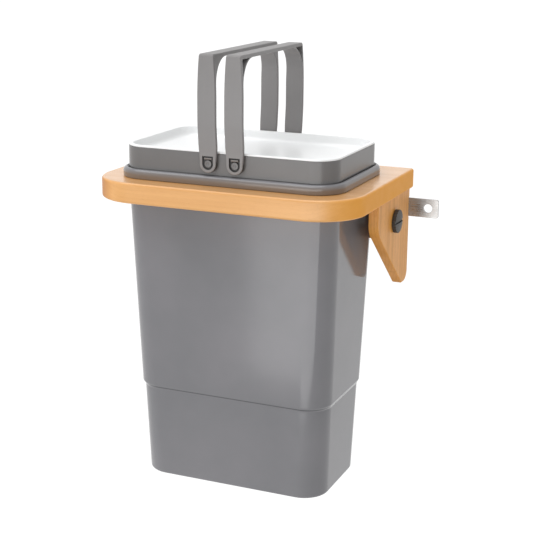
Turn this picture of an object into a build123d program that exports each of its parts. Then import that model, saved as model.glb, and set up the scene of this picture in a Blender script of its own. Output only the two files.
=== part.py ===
"""Kitchen bin that hangs on a cupboard door.

A wooden shelf on two corbels is held to the door by two steel brackets. A grey
bin hangs by its rim in the shelf's cut-out, and a pail with two bails and a
white lid stands inside it.

Frame: the origin lies on the door's face, midway between the two door screws.
+X runs along the door, +Y goes into the door and +Z is up. Sizes are in mm.
"""
import os

from build123d import *

# Wooden shelf
shelf_side_margin = 21.65
shelf_front_margin = 21.6
shelf_rear_margin = 26.2
shelf_thickness = 19.0
shelf_front_radius = 45.0
shelf_back_radius = 3.0
shelf_edge_round = 2.5
screws_below_shelf_top = 38.0

# Corbels and the rail between them
corbel_thickness = 9.5
corbel_inset = 3.8
corbel_depth = 94.5
corbel_height = 91.5
corbel_nose_height = 26.0
corbel_foot_depth = 17.0
corbel_nose_round = 18.0
corbel_toe_round = 3.5
corbel_heel_round = 10.0
corbel_edge_round = 1.2
rail_height = 50.0
rail_thickness = 19.0
rail_edge_round = 1.5

# Dowels that join the wood
dowel_radius = 2.5
dowel_fit = 0.05
dowel_end_room = 1.0
shelf_dowel_depth = 14.0
corbel_dowel_depth = 13.0
corbel_dowel_setbacks = (24.0, 80.0)
rail_dowel_spacing = 75.0
rail_end_dowel_in_rail = 18.0
rail_end_dowel_in_corbel = 6.8
rail_end_dowel_drops = (5.2, 44.0)

# Steel door brackets
bracket_thickness = 2.0
screw_hole_beyond_corbel = 19.2
screw_hole_radius = 4.25
arm_height = 18.0
arm_beyond_hole = 10.3
arm_corner_radius = 2.0
arm_slot_room = 1.0
bend_radius = 2.0
leg_length = 59.0
leg_height = 27.0
leg_corner_radius = 4.0
leg_slot_length = 14.0
bracket_room = 0.3
pocket_extra_length = 8.0

# Clamp knobs
knob_setback = 43.9
knob_drop = 5.3
knob_radius = 11.0
knob_height = 4.8
knob_crown = 0.9
knob_gap = 0.2
knob_edge_round = 0.7
flute_count = 20
flute_radius = 0.9
knob_slot_width = 2.2
knob_slot_depth = 1.5
stud_radius = 3.0
stud_in_knob = 2.8
stud_clearance = 0.25
thread_fit = 0.05
stud_beyond_nut = 1.0
nut_width = 10.0
nut_thickness = 5.0
washer_radius = 6.5
washer_thickness = 1.6

# Outer bin
bin_width = 207.5
bin_depth = 130.5
bin_corner_radius = 22.4
bin_wall = 1.8
bin_floor = 2.2
bin_below_shelf_top = 292.5
bin_slope = 0.034
bin_step_below_shelf_top = 201.6
bin_step_height = 6.5
bin_step_inset = 1.5
bin_foot_round = 3.0
rim_height = 9.0
rim_overhang = 5.0
rim_crown_round = 4.0
rim_foot_round = 1.0
rim_inner_round = 0.8
rim_groove_depth = 3.0
cutout_room = 2.6
cutout_corner_room = 0.6
cutout_round = 0.5

# Lift-out pail
pail_wall = 1.8
pail_floor = 2.0
pail_room = 0.35
collar_room = 0.45
collar_foot_room = 0.3
pail_above_shelf_top = 28.8
pail_slope = 0.0437
pail_foot_round = 3.0
pail_lip_round = 0.6

# Bails and the studs that they swing on
pivot_spacing = 26.0
pivot_above_shelf_top = 19.5
bail_height = 96.7
bail_leg_width = 17.5
bail_grip_width = 13.5
bail_taper_height = 40.0
bail_leg_thickness = 3.6
bail_grip_thickness = 3.5
bail_side_gap = 0.6
bail_spread = 2.6
bail_spread_foot = 10.0
bail_spread_top = 36.0
bail_spread_round = 60.0
bail_cut_room = 1.0
bail_inner_round = 24.0
bail_outer_round = 2.5
bail_edge_round = 0.8
bail_web = 1.6
bail_arc_skin = 1.8
journal_radius = 2.5
journal_fit = 0.05
eye_wall = 1.4
eye_radius = 7.9
eye_blend_height = 18.0
stud_head_radius = 3.35
stud_head_thickness = 1.4
stud_head_gap = 0.2
window_width = 10.6
window_rise = 7.6
catch_width = 7.2
catch_height = 1.5
catch_rise = 4.0
catch_setback = 0.5

# Lid
lid_flange_thickness = 1.6
lid_flange_setback = 0.3
lid_wall = 1.8
lid_room = 0.4
lid_recess_depth = 9.0
lid_recess_inset = 2.0
lid_recess_round = 4.0
lid_edge_round = 0.6

# Heights and places that follow
shelf_top = screws_below_shelf_top
shelf_foot = shelf_top - shelf_thickness
cutout_width = bin_width + 2 * cutout_room
cutout_depth = bin_depth + 2 * cutout_room
shelf_width = cutout_width + 2 * shelf_side_margin
shelf_depth = shelf_rear_margin + cutout_depth + shelf_front_margin
bin_centre_y = -shelf_rear_margin - cutout_depth / 2
corbel_outer_x = shelf_width / 2 - corbel_inset
corbel_inner_x = corbel_outer_x - corbel_thickness
corbel_foot = shelf_foot - corbel_height
hole_x = corbel_outer_x + screw_hole_beyond_corbel
arm_end_x = hole_x + arm_beyond_hole
leg_inner_x = corbel_inner_x + bracket_room
leg_outer_x = leg_inner_x + bracket_thickness
leg_top = arm_height / 2
leg_foot = leg_top - leg_height
bin_foot = shelf_top - bin_below_shelf_top
rim_top = shelf_top + rim_height
groove_floor = rim_top - rim_groove_depth
collar_foot = groove_floor + collar_foot_room
pail_foot = bin_foot + bin_floor
pail_top = shelf_top + pail_above_shelf_top
lid_top = pail_top + lid_flange_thickness
collar_width = bin_width - 2 * collar_room
collar_depth = bin_depth - 2 * collar_room
collar_radius = bin_corner_radius - collar_room
pivot_z = shelf_top + pivot_above_shelf_top
bail_inner_half = collar_depth / 2 + bail_side_gap
bail_outer_half = bail_inner_half + bail_leg_thickness
grip_foot = bail_height - bail_grip_thickness


def bin_section(height, offset=0.0):
    """Width, depth and corner radius of the outer bin at a height, grown by an offset."""
    shrink = bin_slope * (shelf_top - height)
    if height < shelf_top - bin_step_below_shelf_top:
        shrink += bin_step_inset
    grow = 2 * (offset - shrink)
    radius = bin_corner_radius + offset + shrink / 5
    return height, bin_width + grow, bin_depth + grow, radius


def pail_section(height, offset=0.0):
    """Width, depth and corner radius of the pail's body at a height, grown by an offset."""
    offset -= bin_wall + pail_room
    grow = 2 * (offset - pail_slope * (collar_foot - height))
    return height, bin_width + grow, bin_depth + grow, bin_corner_radius + offset


def narrowed(section, inset):
    """Width, depth and radius of a section drawn in by an inset on each side."""
    width, depth, radius = section
    return width - 2 * inset, depth - 2 * inset, radius - inset / 2


def slab(width, depth, radius, bottom, top):
    """Upright block with rounded corners on the bin's axis."""
    outline = Pos(0, bin_centre_y, bottom) * RectangleRounded(width, depth, radius)
    return extrude(outline, top - bottom)


def tapered(sections):
    """Solid through stacked rounded rectangles, each height, width, depth and radius."""
    faces = [
        Pos(0, bin_centre_y, height) * RectangleRounded(width, depth, radius)
        for height, width, depth, radius in sections
    ]
    return loft(faces, ruled=True)


def block(low, high):
    """Box between two opposite corners."""
    size = [b - a for a, b in zip(low, high)]
    return Pos(*low) * Box(*size, align=(Align.MIN, Align.MIN, Align.MIN))


def rod(start, direction, radius, length):
    """Round bar from a start point along a direction."""
    bar = Cylinder(radius, length, align=(Align.CENTER, Align.CENTER, Align.MIN))
    return Plane(origin=start, z_dir=direction) * bar


def left_of(shape):
    """Mirror image for the other side of the bin."""
    return mirror(shape, about=Plane.YZ)


# Wood

def corbel_dowel_spots():
    """Centres of the two dowels between the shelf and the right corbel."""
    x = (leg_outer_x + corbel_outer_x) / 2
    return [(x, -setback, shelf_foot) for setback in corbel_dowel_setbacks]


def rail_dowel_spots():
    """Centres of the three dowels between the shelf and the rail."""
    return [(step * rail_dowel_spacing, -rail_thickness / 2, shelf_foot) for step in (-1, 0, 1)]


def rail_end_spots():
    """Centres of the dowels between the rail's right end and its corbel."""
    return [(corbel_inner_x, -rail_thickness / 2, shelf_foot - drop) for drop in rail_end_dowel_drops]


def upright_dowel(spot, depth_below, extra_radius=0.0, extra_length=0.0):
    """Dowel or its hole, through the joint under the shelf."""
    x, y, z = spot
    start = (x, y, z - depth_below - extra_length)
    length = depth_below + shelf_dowel_depth + 2 * extra_length
    return rod(start, (0, 0, 1), dowel_radius + extra_radius, length)


def end_dowel(spot, extra_radius=0.0, extra_length=0.0):
    """Dowel or its hole, through the joint at the rail's right end."""
    x, y, z = spot
    start = (x - rail_end_dowel_in_rail - extra_length, y, z)
    length = rail_end_dowel_in_rail + rail_end_dowel_in_corbel + 2 * extra_length
    return rod(start, (1, 0, 0), dowel_radius + extra_radius, length)


def make_shelf():
    """Shelf plate with rounded front corners and the cut-out that holds the bin."""
    outline = Pos(0, -shelf_depth / 2) * Rectangle(shelf_width, shelf_depth)
    outline = fillet(outline.vertices().group_by(Axis.Y)[0], shelf_front_radius)
    outline = fillet(outline.vertices().group_by(Axis.Y)[-1], shelf_back_radius)
    shelf = extrude(Pos(0, 0, shelf_foot) * outline, shelf_thickness)
    rims = shelf.faces().sort_by(Axis.Z)[-1].edges() + shelf.faces().sort_by(Axis.Z)[0].edges()
    shelf = fillet(rims, shelf_edge_round)
    cutout_radius = bin_corner_radius + cutout_corner_room
    shelf -= slab(cutout_width, cutout_depth, cutout_radius, shelf_foot, shelf_top)
    cutout_edge = shelf.faces().sort_by(Axis.Z)[-1].inner_wires()[0].edges()
    shelf = fillet(cutout_edge, cutout_round)
    for spot in corbel_dowel_spots():
        hole = upright_dowel(spot, corbel_dowel_depth, dowel_fit, dowel_end_room)
        shelf = shelf - hole - left_of(hole)
    for spot in rail_dowel_spots():
        shelf -= upright_dowel(spot, shelf_dowel_depth, dowel_fit, dowel_end_room)
    return shelf


def make_corbel():
    """Right corbel: straight nose, slanted front, rounded foot and the bracket's pocket."""
    nose = (-corbel_depth, shelf_foot - corbel_nose_height)
    toe = (-corbel_foot_depth, corbel_foot)
    heel = (0, corbel_foot)
    points = [(-corbel_depth, shelf_foot), nose, toe, heel, (0, shelf_foot)]
    outline = Plane.YZ * make_face(Polyline(*points, close=True))
    rounds = ((nose, corbel_nose_round), (toe, corbel_toe_round), (heel, corbel_heel_round))
    for (y, z), radius in rounds:
        corner = outline.vertices().sort_by_distance((0, y, z))[0]
        outline = fillet(corner, radius)
    corbel = extrude(Pos(corbel_inner_x, 0, 0) * outline, corbel_thickness)
    sides = corbel.faces().sort_by(Axis.X)
    edges = sides[0].edges() + sides[-1].edges()
    corbel = fillet(edges.filter_by(lambda edge: edge.center().Z < shelf_foot - 0.1), corbel_edge_round)

    room = bracket_room
    corbel -= block(
        (corbel_inner_x, -leg_length - pocket_extra_length, leg_foot - room),
        (leg_outer_x, 0, leg_top + room),
    )
    corbel -= block(
        (corbel_inner_x, -bracket_thickness - room, -arm_height / 2 - arm_slot_room),
        (corbel_outer_x, 0, arm_height / 2 + arm_slot_room),
    )
    bore_start = (corbel_inner_x, -knob_setback, -knob_drop)
    corbel -= rod(bore_start, (1, 0, 0), stud_radius + stud_clearance, corbel_thickness)
    for spot in corbel_dowel_spots():
        corbel -= upright_dowel(spot, corbel_dowel_depth, dowel_fit, dowel_end_room)
    for spot in rail_end_spots():
        corbel -= end_dowel(spot, dowel_fit, dowel_end_room)
    return corbel


def make_rail():
    """Back rail that joins the corbels under the shelf's rear edge."""
    rail = block(
        (-corbel_inner_x, -rail_thickness, shelf_foot - rail_height), (corbel_inner_x, 0, shelf_foot)
    )
    front_foot = rail.edges().filter_by(Axis.X).sort_by(Axis.Z)[:2]
    rail = fillet(front_foot, rail_edge_round)
    for spot in rail_end_spots():
        hole = end_dowel(spot, dowel_fit, dowel_end_room)
        rail = rail - hole - left_of(hole)
    for spot in rail_dowel_spots():
        rail -= upright_dowel(spot, shelf_dowel_depth, dowel_fit, dowel_end_room)
    return rail


def make_corbel_dowels():
    """Two dowels between the shelf and the right corbel."""
    return Part() + [upright_dowel(spot, corbel_dowel_depth) for spot in corbel_dowel_spots()]


def make_rail_dowels():
    """Three dowels between the shelf and the rail."""
    return Part() + [upright_dowel(spot, shelf_dowel_depth) for spot in rail_dowel_spots()]


def make_rail_end_dowels():
    """Two dowels between the rail's right end and its corbel."""
    return Part() + [end_dowel(spot) for spot in rail_end_spots()]


# Brackets and clamps

def make_bracket():
    """Right door bracket: an arm along the door with its screw hole, and a slotted leg."""
    face = -bracket_thickness
    corners = [
        (leg_inner_x, -leg_length), (leg_inner_x, 0), (arm_end_x, 0),
        (arm_end_x, face), (leg_outer_x, face), (leg_outer_x, -leg_length),
    ]
    plan = make_face(Polyline(*corners, close=True))
    plan = fillet(plan.vertices().sort_by_distance((leg_inner_x, 0, 0))[0], bend_radius)
    bracket = extrude(Pos(0, 0, leg_foot) * plan, leg_height)
    bracket -= block((leg_outer_x, face, leg_foot), (arm_end_x, 0, -arm_height / 2))
    bracket = fillet(bracket.edges().filter_by(Axis.Y).group_by(Axis.X)[-1], arm_corner_radius)
    bracket = fillet(bracket.edges().filter_by(Axis.X).group_by(Axis.Y)[0], leg_corner_radius)

    bracket -= rod((hole_x, 0, 0), (0, -1, 0), screw_hole_radius, bracket_thickness)
    slot = Plane.YZ * SlotOverall(leg_slot_length, 2 * (stud_radius + stud_clearance))
    return bracket - extrude(Pos(leg_inner_x, -knob_setback, -knob_drop) * slot, bracket_thickness)


def make_knob():
    """Right clamp knob: fluted rim, crowned face and a coin slot."""
    base_x = corbel_outer_x + knob_gap
    top = knob_height - knob_crown
    rim = (knob_radius, top)
    crown = ThreePointArc(rim, (knob_radius / 2, knob_height - knob_crown / 4), (0, knob_height))
    profile = make_face(Polyline((0, knob_height), (0, 0), (knob_radius, 0), rim) + crown)
    knob = revolve(Plane.XZ * profile, Axis.Z)
    knob = fillet(knob.edges().filter_by(GeomType.CIRCLE).sort_by(Axis.Z)[0], knob_edge_round)
    for index in range(flute_count):
        spot = Rot(0, 0, 360 * index / flute_count) * Pos(knob_radius + flute_radius / 3, 0, 0)
        knob -= spot * Cylinder(flute_radius, knob_height, align=(Align.CENTER, Align.CENTER, Align.MIN))
    knob -= Pos(0, 0, knob_height) * Box(3 * knob_radius, knob_slot_width, 2 * knob_slot_depth)
    seat_radius = stud_radius + dowel_fit
    knob -= Cylinder(seat_radius, stud_in_knob, align=(Align.CENTER, Align.CENTER, Align.MIN))
    seat = Plane(origin=(base_x, -knob_setback, -knob_drop), x_dir=(0, 1, 0), z_dir=(1, 0, 0))
    return seat * knob


def make_stud():
    """Steel stud set in the right knob, through the corbel, leg and nut."""
    washer_face = leg_inner_x - washer_thickness
    end_x = washer_face - nut_thickness - stud_beyond_nut
    start_x = corbel_outer_x + knob_gap + stud_in_knob
    stud = rod((start_x, -knob_setback, -knob_drop), (-1, 0, 0), stud_radius, start_x - end_x)
    tip = stud.edges().filter_by(GeomType.CIRCLE).sort_by(Axis.X)[0]
    return chamfer(tip, stud_radius / 5)


def make_washer():
    """Flat washer on the inner side of the right leg."""
    start = (leg_inner_x, -knob_setback, -knob_drop)
    washer = rod(start, (-1, 0, 0), washer_radius, washer_thickness)
    return washer - rod(start, (-1, 0, 0), stud_radius + stud_clearance, washer_thickness)


def make_nut():
    """Square nut that the right stud screws into."""
    outer = leg_inner_x - washer_thickness
    half = nut_width / 2
    nut = block(
        (outer - nut_thickness, -knob_setback - half, -knob_drop - half),
        (outer, -knob_setback + half, -knob_drop + half),
    )
    nut = chamfer(nut.edges().filter_by(Axis.X), nut_width / 12)
    start = (outer, -knob_setback, -knob_drop)
    return nut - rod(start, (-1, 0, 0), stud_radius + thread_fit, nut_thickness)


# Bin, pail and lid

def make_outer_bin():
    """Tapered bin with a stepped foot and a rolled rim that hangs on the shelf."""
    step_top = shelf_top - bin_step_below_shelf_top
    step_foot = step_top - bin_step_height
    body = tapered([bin_section(z) for z in (shelf_top, step_top, step_foot, bin_foot)])
    body = fillet(body.faces().sort_by(Axis.Z)[0].edges(), bin_foot_round)

    _, width, depth, radius = bin_section(shelf_top, rim_overhang)
    rim = slab(width, depth, radius, shelf_top, rim_top)
    rim = fillet(rim.faces().sort_by(Axis.Z)[-1].edges(), rim_crown_round)
    rim = fillet(rim.faces().sort_by(Axis.Z)[0].edges(), rim_foot_round)
    rim -= slab(bin_width, bin_depth, bin_corner_radius, groove_floor, rim_top)
    crest = rim.faces().sort_by(Axis.Z)[-1].inner_wires()[0].edges()
    rim = fillet(crest, rim_inner_round)

    floor_top = bin_foot + bin_floor
    hollow = tapered([bin_section(z, -bin_wall) for z in (groove_floor, step_top, step_foot, floor_top)])
    return body + rim - hollow


def stud_on_pail(x, side):
    """Round stud with a head, on the pail's front (side -1) or rear (side 1) wall."""
    face_y = bin_centre_y + side * collar_depth / 2
    root = (x, face_y - side * pail_wall / 2, pivot_z)
    to_head = bail_side_gap + eye_wall + stud_head_gap
    journal = rod(root, (0, side, 0), journal_radius, pail_wall / 2 + to_head)
    head = rod((x, face_y + side * to_head, pivot_z), (0, side, 0), stud_head_radius, stud_head_thickness)
    tip = head.edges().filter_by(GeomType.CIRCLE).sort_by(Axis.Y)[-1 if side > 0 else 0]
    return journal + fillet(tip, stud_head_thickness / 4)


def make_pail():
    """Lift-out pail whose collar stands above the rim and carries the bails' studs."""
    collar = slab(collar_width, collar_depth, collar_radius, collar_foot, pail_top)
    collar = fillet(collar.faces().sort_by(Axis.Z)[-1].edges(), pail_lip_round)
    body = tapered([pail_section(collar_foot), pail_section(pail_foot)])
    body = fillet(body.faces().sort_by(Axis.Z)[0].edges(), pail_foot_round)

    ledge = collar_foot + pail_wall
    inner_width = collar_width - 2 * pail_wall
    inner_depth = collar_depth - 2 * pail_wall
    inside_collar = slab(inner_width, inner_depth, collar_radius - pail_wall, ledge, pail_top)
    floor_top = pail_foot + pail_floor
    inside_body = tapered([pail_section(ledge, -pail_wall), pail_section(floor_top, -pail_wall)])
    pail = collar + body - inside_collar - inside_body
    for x in (-pivot_spacing / 2, pivot_spacing / 2):
        for side in (-1, 1):
            pail += stud_on_pail(x, side)
    return pail


def bail_side(eye_half, top, corner_round):
    """Side view over a bail's legs, which spread a little above the eyes."""
    grip_half = eye_half + bail_spread
    foot = -eye_radius - bail_cut_room
    right = [(eye_half, foot), (eye_half, bail_spread_foot), (grip_half, bail_spread_top), (grip_half, top)]
    left = [(-across, height) for across, height in reversed(right)]
    outline = make_face(Polyline(*right, *left, close=True))
    bends = outline.vertices().group_by(Axis.Y)
    outline = fillet(bends[1] + bends[2], bail_spread_round)
    return fillet(outline.vertices().group_by(Axis.Y)[-1], corner_round)


def bail_outline():
    """Front view of a bail: round eye, straight leg and a narrower grip."""
    half = bail_leg_width / 2
    grip_half = bail_grip_width / 2
    bend = bail_height - bail_taper_height
    crest = bail_height + bail_cut_room
    up = (0, 1)
    eye = ThreePointArc((-eye_radius, 0), (0, -eye_radius), (eye_radius, 0))
    right = Spline((eye_radius, 0), (half, eye_blend_height), tangents=(up, up))
    right += Line((half, eye_blend_height), (half, bend))
    right += TangentArc((half, bend), (grip_half, crest), tangent=up)
    top = Line((grip_half, crest), (-grip_half, crest))
    return make_face(eye + right + top + mirror(right, about=Plane.YZ))


def bail_pocket():
    """Side view of the hollow behind one of the bail's round corners."""
    centre = (bail_inner_half + bail_spread - bail_inner_round, grip_foot - bail_inner_round)
    corner = Pos(centre[0] + bail_inner_round / 2, centre[1] + bail_inner_round / 2) * Rectangle(
        bail_inner_round, bail_inner_round
    )
    return corner - Pos(*centre) * Circle(bail_inner_round + bail_arc_skin)


def eye_window():
    """Front view of the recess round a stud's head: round foot, flat top."""
    half = window_width / 2
    return Circle(half) + Pos(0, window_rise / 2) * Rectangle(window_width, window_rise)


def make_bail():
    """Right bail, upright, with hollow corners and an eye on each leg."""
    x = pivot_spacing / 2
    pivot = Plane(origin=(x, bin_centre_y, pivot_z), x_dir=(0, 1, 0), z_dir=(1, 0, 0))
    front = Plane(origin=(x, bin_centre_y, pivot_z), x_dir=(1, 0, 0), z_dir=(0, -1, 0))
    hoop = bail_side(bail_outer_half, bail_height, bail_outer_round)
    hoop -= bail_side(bail_inner_half, grip_foot, bail_inner_round)
    hoop = extrude(pivot * hoop, bail_leg_width / 2 + bail_cut_room, both=True)
    outline = extrude(front * bail_outline(), bail_outer_half + bail_spread + bail_cut_room, both=True)
    bail = hoop & outline
    seams = bail.edges().filter_by(Axis.Y).group_by(SortBy.LENGTH)[0]
    bail = fillet(bail.edges() - bail.edges().filter_by(Axis.X) - seams, bail_edge_round)

    web_x = -bail_leg_width / 2 + bail_web + (bail_leg_width - bail_grip_width) / 2
    pocket = extrude(pivot * Pos(0, 0, web_x) * bail_pocket(), bail_leg_width)
    bail -= pocket
    bail -= mirror(pocket, about=Plane.XZ.offset(-bin_centre_y))

    for side in (-1, 1):
        outer_eye = (x, bin_centre_y + side * bail_outer_half, pivot_z)
        face = Plane(origin=outer_eye, x_dir=(-side, 0, 0), z_dir=(0, side, 0))
        depth = bail_leg_thickness - eye_wall
        bail -= extrude(face * eye_window(), -depth)
        catch = Rectangle(catch_width, catch_height, align=(Align.CENTER, Align.MIN))
        bail += extrude(face * Pos(0, catch_rise, -depth) * catch, depth - catch_setback)
        bore = (x, bin_centre_y + side * bail_inner_half, pivot_z)
        bail -= rod(bore, (0, side, 0), journal_radius + journal_fit, bail_leg_thickness)
    return bail


def make_lid():
    """White lid: a flange on the pail's lip round a shallow tray."""
    flange_width = collar_width - 2 * lid_flange_setback
    flange_depth = collar_depth - 2 * lid_flange_setback
    lid = slab(flange_width, flange_depth, collar_radius - lid_flange_setback, pail_top, lid_top)
    lid = fillet(lid.faces().sort_by(Axis.Z)[-1].edges(), lid_edge_round)

    tray_offset = -pail_wall - lid_room
    tray = (collar_width + 2 * tray_offset, collar_depth + 2 * tray_offset, collar_radius + tray_offset)
    recess = tuple(size - 2 * lid_wall for size in tray[:2]) + (tray[2] - lid_wall,)
    recess_floor = lid_top - lid_recess_depth
    tray_foot = recess_floor - lid_wall
    shell = tapered([(pail_top, *tray), (tray_foot, *narrowed(tray, lid_recess_inset))])
    shell = fillet(shell.faces().sort_by(Axis.Z)[0].edges(), lid_recess_round + lid_wall)
    hollow = tapered([(lid_top, *recess), (recess_floor, *narrowed(recess, lid_recess_inset))])
    hollow = fillet(hollow.faces().sort_by(Axis.Z)[0].edges(), lid_recess_round)
    return lid + shell - hollow


def build_nodes():
    """Every sub-part by its node name."""
    nodes = {
        "shelf_plate": make_shelf(),
        "back_rail": make_rail(),
        "rail_dowels": make_rail_dowels(),
        "outer_bin": make_outer_bin(),
        "inner_pail": make_pail(),
        "lid": make_lid(),
    }
    paired = {
        "corbel": make_corbel(),
        "corbel_dowels": make_corbel_dowels(),
        "rail_end_dowels": make_rail_end_dowels(),
        "door_bracket": make_bracket(),
        "clamp_knob": make_knob(),
        "clamp_stud": make_stud(),
        "clamp_washer": make_washer(),
        "clamp_nut": make_nut(),
        "bail": make_bail(),
    }
    for name, shape in paired.items():
        nodes[f"{name}_right"] = shape
        nodes[f"{name}_left"] = left_of(shape)
    return nodes


os.makedirs("parts", exist_ok=True)
for node, shape in build_nodes().items():
    export_step(shape, f"parts/{node}.step")
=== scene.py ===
"""Looks of a kitchen bin that hangs on a cupboard door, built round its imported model.

Lengths are in metres. The origin is on the door's face, +Y goes into the door and +Z is up.
"""
import math

import bmesh
import bpy
from mathutils import Matrix, Vector


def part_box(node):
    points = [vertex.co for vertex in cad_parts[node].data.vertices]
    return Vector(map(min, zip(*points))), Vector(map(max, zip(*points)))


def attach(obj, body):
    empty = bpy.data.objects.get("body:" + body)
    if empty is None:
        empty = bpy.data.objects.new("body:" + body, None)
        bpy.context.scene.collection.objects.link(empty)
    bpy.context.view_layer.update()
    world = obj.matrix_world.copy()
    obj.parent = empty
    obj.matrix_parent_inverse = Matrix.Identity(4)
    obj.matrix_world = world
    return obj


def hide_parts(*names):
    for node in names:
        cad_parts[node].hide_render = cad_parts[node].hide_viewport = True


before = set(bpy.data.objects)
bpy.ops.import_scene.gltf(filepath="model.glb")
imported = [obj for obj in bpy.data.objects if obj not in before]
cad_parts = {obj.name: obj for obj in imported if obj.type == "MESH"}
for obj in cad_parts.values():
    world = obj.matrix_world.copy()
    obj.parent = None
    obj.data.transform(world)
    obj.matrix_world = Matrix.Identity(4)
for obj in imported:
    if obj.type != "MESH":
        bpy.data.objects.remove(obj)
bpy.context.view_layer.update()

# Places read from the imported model
bin_low, bin_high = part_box("outer_bin")
pail_low, pail_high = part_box("inner_pail")
lid_low, lid_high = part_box("lid")
shelf_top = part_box("shelf_plate")[1].z
axis_y = (bin_low.y + bin_high.y) / 2

# Outer bin
rim_overhang = 0.0050
rim_crown_round = 0.0040
rim_foot_round = 0.0010
rim_inner_round = 0.0008
rim_groove_depth = 0.0030
bin_corner_radius = 0.0224
bin_wall = 0.0018
bin_floor = 0.0022
bin_slope = 0.034
bin_step_below_shelf_top = 0.2006
bin_step_height = 0.0040
bin_step_inset = 0.0015
bin_step_shoulder_round = 0.0020
bin_step_crease_round = 0.0006
bin_foot_round = 0.0030
bin_floor_round = 0.0010
bin_corner_growth = 1.2
bin_half_x = bin_high.x - rim_overhang
bin_half_y = (bin_high.y - bin_low.y) / 2 - rim_overhang
groove_floor = bin_high.z - rim_groove_depth

# Pail
pail_wall = 0.0018
pail_floor = 0.0020
pail_room = 0.00035
collar_room = 0.00045
collar_foot_room = 0.0003
pail_slope = 0.0437
pail_foot_round = 0.0030
pail_floor_round = 0.0010
pail_lip_round = 0.0006
pail_lip_inner_round = 0.0003
collar_foot = groove_floor + collar_foot_room

# Studs that carry the bails
pivot_spacing = 0.0260
pivot_above_shelf_top = 0.0195
journal_radius = 0.0025
stud_head_radius = 0.00335
stud_head_thickness = 0.0014
stud_head_stand_off = 0.0022

# Lid
lid_flange_thickness = 0.0016
lid_flange_setback = 0.0003
lid_flange_foot_round = 0.0002
lid_seat_gap = 0.00002
lid_wall = 0.0018
lid_room = 0.0004
lid_recess_depth = 0.0090
lid_recess_inset = 0.0020
lid_recess_round = 0.0040
lid_edge_round = 0.0006

# Clamp knobs
knob_radius = 0.0110
knob_height = 0.0048
knob_crown = 0.0009
knob_foot_round = 0.0007
knob_rim_round = 0.0003
knob_bore_radius = 0.00305
knob_bore_depth = 0.0028
flute_count = 20
flute_radius = 0.0009
flute_softness = 0.0003
slot_width = 0.0022
slot_depth = 0.0015

# How finely round shapes are cut
corner_steps = 16
arc_step = math.radians(12)
least_arc_steps = 3
flute_steps = 12
stud_steps = 40
crown_rings = 6
support_gap = 0.0004
least_corner_radius = 0.0004
least_turn = 1e-4

# Flat rings between the edges of floors and their middles
floor_ring = 0.0140
tray_ring = 0.0200

# How meshes are joined and shaded
weld = 1e-7
packed_weld = 2e-6
flat_angle = math.radians(0.05)
sharp_angle = math.radians(40)
bevel_segments = 2

# Wood: its growth rings, what its parts make of its dark tone, the painted shade on its faces turned to the
# left, and how it shines
ring_wander_size = (0.40, 0.045, 0.045)
ring_slant = 0.05
ring_tint = (0.80, 0.70, 0.55)
fleck_tint = (0.62, 0.48, 0.36)
end_tint = (1.25, 1.05, 0.30)
# How far a face must turn towards -X before painted shade darkens it
left_shade_facing = (-0.70, -0.38)
face_roughness = (0.44, 0.36)
end_roughness = 0.2
side_coat_share = 0.25
coat_roughness = 0.22
fleck_depth = 0.00002

# Plastic, and the light and shade painted into its colour: painted shade in a line under the bin's step, a
# painted warm reflection of the wood on the rim, and painted shade in the bails' windows
haze_roughness = 0.02
# Where a line of painted shade runs round the bin under its step
step_line = shelf_top - bin_step_below_shelf_top - bin_step_height / 2
step_line_half_width = 0.0010
# Where a warm reflection of the wood is painted on the lower half of the bin's rim
rim_painted_reflection_fade = 0.0005
rim_painted_reflection_full_drop = 0.0050
rim_painted_reflection_end_drop = 0.0010
# Where painted shade darkens the floor of the windows round the bails' eyes
window_reach = 0.0086
window_fade = 0.9
window_shade_beyond_head = 0.0015
window_shade_end = bin_half_y - collar_room + stud_head_stand_off + window_shade_beyond_head
window_shade_fade = 0.0004

# Steel
steel_dark = (0.26, 0.255, 0.25)
steel_light = (0.37, 0.365, 0.36)
steel_roughness = (0.28, 0.18)
dull_roughness = 0.10
steel_line_depth = 0.000005


# Node trees

def place_in(node, key, value):
    """Links or sets one input of a node, found by its number or by its name among those in use."""
    if isinstance(key, int):
        socket = node.inputs[key]
    else:
        socket = next(found for found in node.inputs if found.name == key and found.enabled)
    if isinstance(value, bpy.types.NodeSocket):
        node.id_data.links.new(value, socket)
    else:
        socket.default_value = value


def put(tree, kind, inputs=None, **settings):
    """Adds a node, with its settings, and gives its inputs a value or a link."""
    node = tree.nodes.new(kind)
    for name, value in settings.items():
        setattr(node, name, value)
    for key, value in (inputs or {}).items():
        place_in(node, key, value)
    return node


def out(node):
    """First output of a node that is in use."""
    return next(socket for socket in node.outputs if socket.enabled)


def calc(tree, operation, *values):
    """Adds a Math node and gives its result."""
    return put(tree, "ShaderNodeMath", dict(enumerate(values)), operation=operation).outputs[0]


def join_xyz(tree, x, y, z):
    """Adds a Combine XYZ node and gives its vector."""
    return put(tree, "ShaderNodeCombineXYZ", {0: x, 1: y, 2: z}).outputs[0]


def split_xyz(tree, vector):
    """Adds a Separate XYZ node and gives its three numbers."""
    return put(tree, "ShaderNodeSeparateXYZ", {0: vector}).outputs


# Shape trees

def shape_tree(name, inputs):
    """Makes a geometry tree with named inputs beside its geometry and material."""
    tree = bpy.data.node_groups.new(name, "GeometryNodeTree")
    tree.interface.new_socket("Geometry", in_out="INPUT", socket_type="NodeSocketGeometry")
    for socket, kind in inputs.items():
        tree.interface.new_socket(socket, in_out="INPUT", socket_type=kind)
    tree.interface.new_socket("Material", in_out="INPUT", socket_type="NodeSocketMaterial")
    tree.interface.new_socket("Geometry", in_out="OUTPUT", socket_type="NodeSocketGeometry")
    return tree, put(tree, "NodeGroupInput").outputs


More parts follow.
